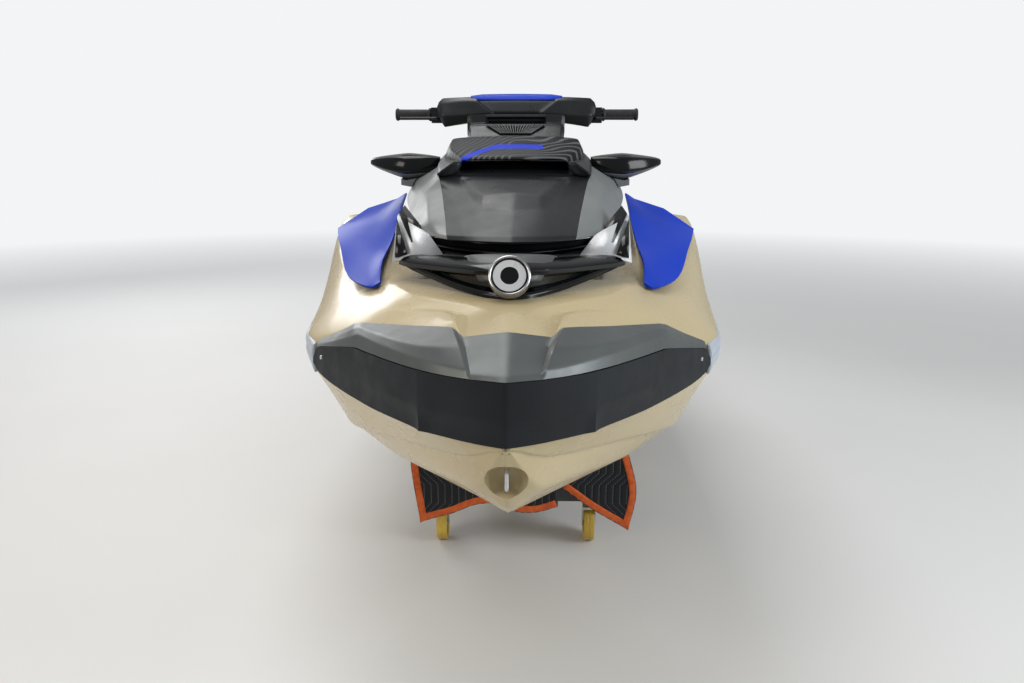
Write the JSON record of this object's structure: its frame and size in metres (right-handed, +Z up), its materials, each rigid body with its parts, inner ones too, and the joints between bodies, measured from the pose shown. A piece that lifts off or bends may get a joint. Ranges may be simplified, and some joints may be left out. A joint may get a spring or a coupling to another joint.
{
  "type": "personal watercraft",
  "caption": "Sit-down personal watercraft with tilting hood, handlebar and jet drive, parked on a low wheeled dolly with padded bunks.",
  "frame": {"origin": "centre of the bounding box on the floor, under the middle of the craft", "axes": "+Y from bow to stern along the craft, +X to port, +Z up"},
  "size_m": [1.255, 3.45, 1.5125],
  "materials": {
    "gelcoat": "gloss",
    "bumper_black": "satin",
    "cap_grey": "satin metallic",
    "panel_blue": "gloss",
    "gloss_black": "gloss",
    "hood_black": "satin",
    "flank_grey": "satin metallic",
    "rail_grey": "satin",
    "badge": "brushed",
    "mirror_glass": "polished",
    "bar_black": "satin",
    "grip_rubber": "matte",
    "seat_vinyl": "grained",
    "mat_foam": "matte",
    "stainless": "polished",
    "pump_alloy": "cast",
    "drive_plastic": "satin",
    "dolly_paint": "satin",
    "bunk_wood": "raw",
    "caster_steel": "zinc plated",
    "caster_yellow": "satin",
    "blanket_cloth": "woven"
  },
  "bodies": {
    "craft_on_dolly": {"hull": "gelcoat", "bow_bumper": "bumper_black", "bumper_cap": "cap_grey", "side_rails": "rail_grey", "deck": "gelcoat", "shoulder_panels": "panel_blue", "nose_grille": "gloss_black", "nose_badge": "badge", "hood_hinge": "stainless", "steering_pedestal": "hood_black", "glovebox_hinge": "stainless", "seat_front": "seat_vinyl", "seat_rear": "seat_vinyl", "grab_handle": "bar_black", "footwell_mats": "mat_foam", "platform_mat": "mat_foam", "sponsons": "drive_plastic", "pump_housing": "pump_alloy", "ride_plate": "drive_plastic", "intake_grate": "pump_alloy", "step_brackets": "stainless", "bow_eye": "stainless", "fuel_cap": "hood_black", "mooring_cleats": "drive_plastic", "dolly_bunks": "bunk_wood", "dolly_frame": "dolly_paint", "caster_housings": "caster_steel", "blanket_left": "blanket_cloth", "blanket_right": "blanket_cloth"},
    "hood": {"hood_cover": "hood_black", "hood_flanks": "flank_grey", "deflector": "gloss_black", "gauge_cowl": "hood_black", "mirror_shells": "gloss_black", "mirror_arms": "flank_grey", "mirror_glass": "mirror_glass"},
    "steering": {"handlebar": "bar_black", "steering_column": "bar_black", "steering_boot": "hood_black", "steering_pad": "hood_black", "pad_trim": "panel_blue", "grips": "grip_rubber", "switch_pods": "hood_black", "hand_levers": "bar_black"},
    "nozzle": {"steering_nozzle": "drive_plastic"},
    "bucket": {"reverse_bucket": "drive_plastic"},
    "impeller_rotor": {"impeller": "stainless"},
    "step": {"boarding_step": "stainless"},
    "pylon": {"tow_pylon": "bar_black"},
    "glove_lid": {"glovebox_lid": "hood_black"},
    "swivel_front_left": {"caster_fork_front_left": "caster_steel"},
    "wheel_front_left": {"caster_wheel_front_left": "caster_yellow"},
    "swivel_front_right": {"caster_fork_front_right": "caster_steel"},
    "wheel_front_right": {"caster_wheel_front_right": "caster_yellow"},
    "swivel_rear_left": {"caster_fork_rear_left": "caster_steel"},
    "wheel_rear_left": {"caster_wheel_rear_left": "caster_yellow"},
    "swivel_rear_right": {"caster_fork_rear_right": "caster_steel"},
    "wheel_rear_right": {"caster_wheel_rear_right": "caster_yellow"}
  },
  "joints": [
    {"name": "hood_hinge_joint", "type": "hinge", "parent": "craft_on_dolly", "child": "hood", "pos_m": [0, -1.19, 1.098], "axis": [1, 0, 0], "range_deg": [0, 50]},
    {"name": "steering_turn", "type": "hinge", "parent": "craft_on_dolly", "child": "steering", "pos_m": [0, -0.333, 1.24], "axis": [0, 0.5736, 0.8192], "range_deg": [-22, 22]},
    {"name": "nozzle_turn", "type": "hinge", "parent": "craft_on_dolly", "child": "nozzle", "pos_m": [0, 1.547, 0.51], "axis": [0, 0, 1], "range_deg": [-20, 20]},
    {"name": "bucket_drop", "type": "hinge", "parent": "craft_on_dolly", "child": "bucket", "pos_m": [0, 1.575, 0.51], "axis": [-1, 0, 0], "range_deg": [0, 78]},
    {"name": "impeller_spin", "type": "hinge", "parent": "craft_on_dolly", "child": "impeller_rotor", "pos_m": [0, 1.27, 0.51], "axis": [0, 1, 0], "continuous": true},
    {"name": "step_swing", "type": "hinge", "parent": "craft_on_dolly", "child": "step", "pos_m": [0, 1.567, 0.48], "axis": [-1, 0, 0], "range_deg": [0, 160]},
    {"name": "pylon_lift", "type": "slide", "parent": "craft_on_dolly", "child": "pylon", "axis": [0, 0, 1], "range_m": [0, 0.27]},
    {"name": "glove_lid_hinge", "type": "hinge", "parent": "craft_on_dolly", "child": "glove_lid", "pos_m": [0, -0.225, 1.01], "axis": [1, 0, 0], "range_deg": [0, 70]},
    {"name": "swivel_front_left_turn", "type": "hinge", "parent": "craft_on_dolly", "child": "swivel_front_left", "pos_m": [0.253, -0.435, 0.16], "axis": [0, 0, 1], "continuous": true},
    {"name": "wheel_front_left_spin", "type": "hinge", "parent": "swivel_front_left", "child": "wheel_front_left", "pos_m": [0.253, -0.397, 0.0625], "axis": [1, 0, 0], "continuous": true},
    {"name": "swivel_front_right_turn", "type": "hinge", "parent": "craft_on_dolly", "child": "swivel_front_right", "pos_m": [-0.253, -0.435, 0.16], "axis": [0, 0, 1], "continuous": true},
    {"name": "wheel_front_right_spin", "type": "hinge", "parent": "swivel_front_right", "child": "wheel_front_right", "pos_m": [-0.253, -0.397, 0.0625], "axis": [1, 0, 0], "continuous": true},
    {"name": "swivel_rear_left_turn", "type": "hinge", "parent": "craft_on_dolly", "child": "swivel_rear_left", "pos_m": [0.253, 0.765, 0.16], "axis": [0, 0, 1], "continuous": true},
    {"name": "wheel_rear_left_spin", "type": "hinge", "parent": "swivel_rear_left", "child": "wheel_rear_left", "pos_m": [0.253, 0.803, 0.0625], "axis": [1, 0, 0], "continuous": true},
    {"name": "swivel_rear_right_turn", "type": "hinge", "parent": "craft_on_dolly", "child": "swivel_rear_right", "pos_m": [-0.253, 0.765, 0.16], "axis": [0, 0, 1], "continuous": true},
    {"name": "wheel_rear_right_spin", "type": "hinge", "parent": "swivel_rear_right", "child": "wheel_rear_right", "pos_m": [-0.253, 0.803, 0.0625], "axis": [1, 0, 0], "continuous": true}
  ],
  "couplings": [
    {"joint": "nozzle_turn", "follows": "steering_turn", "ratio": -0.9}
  ]
}
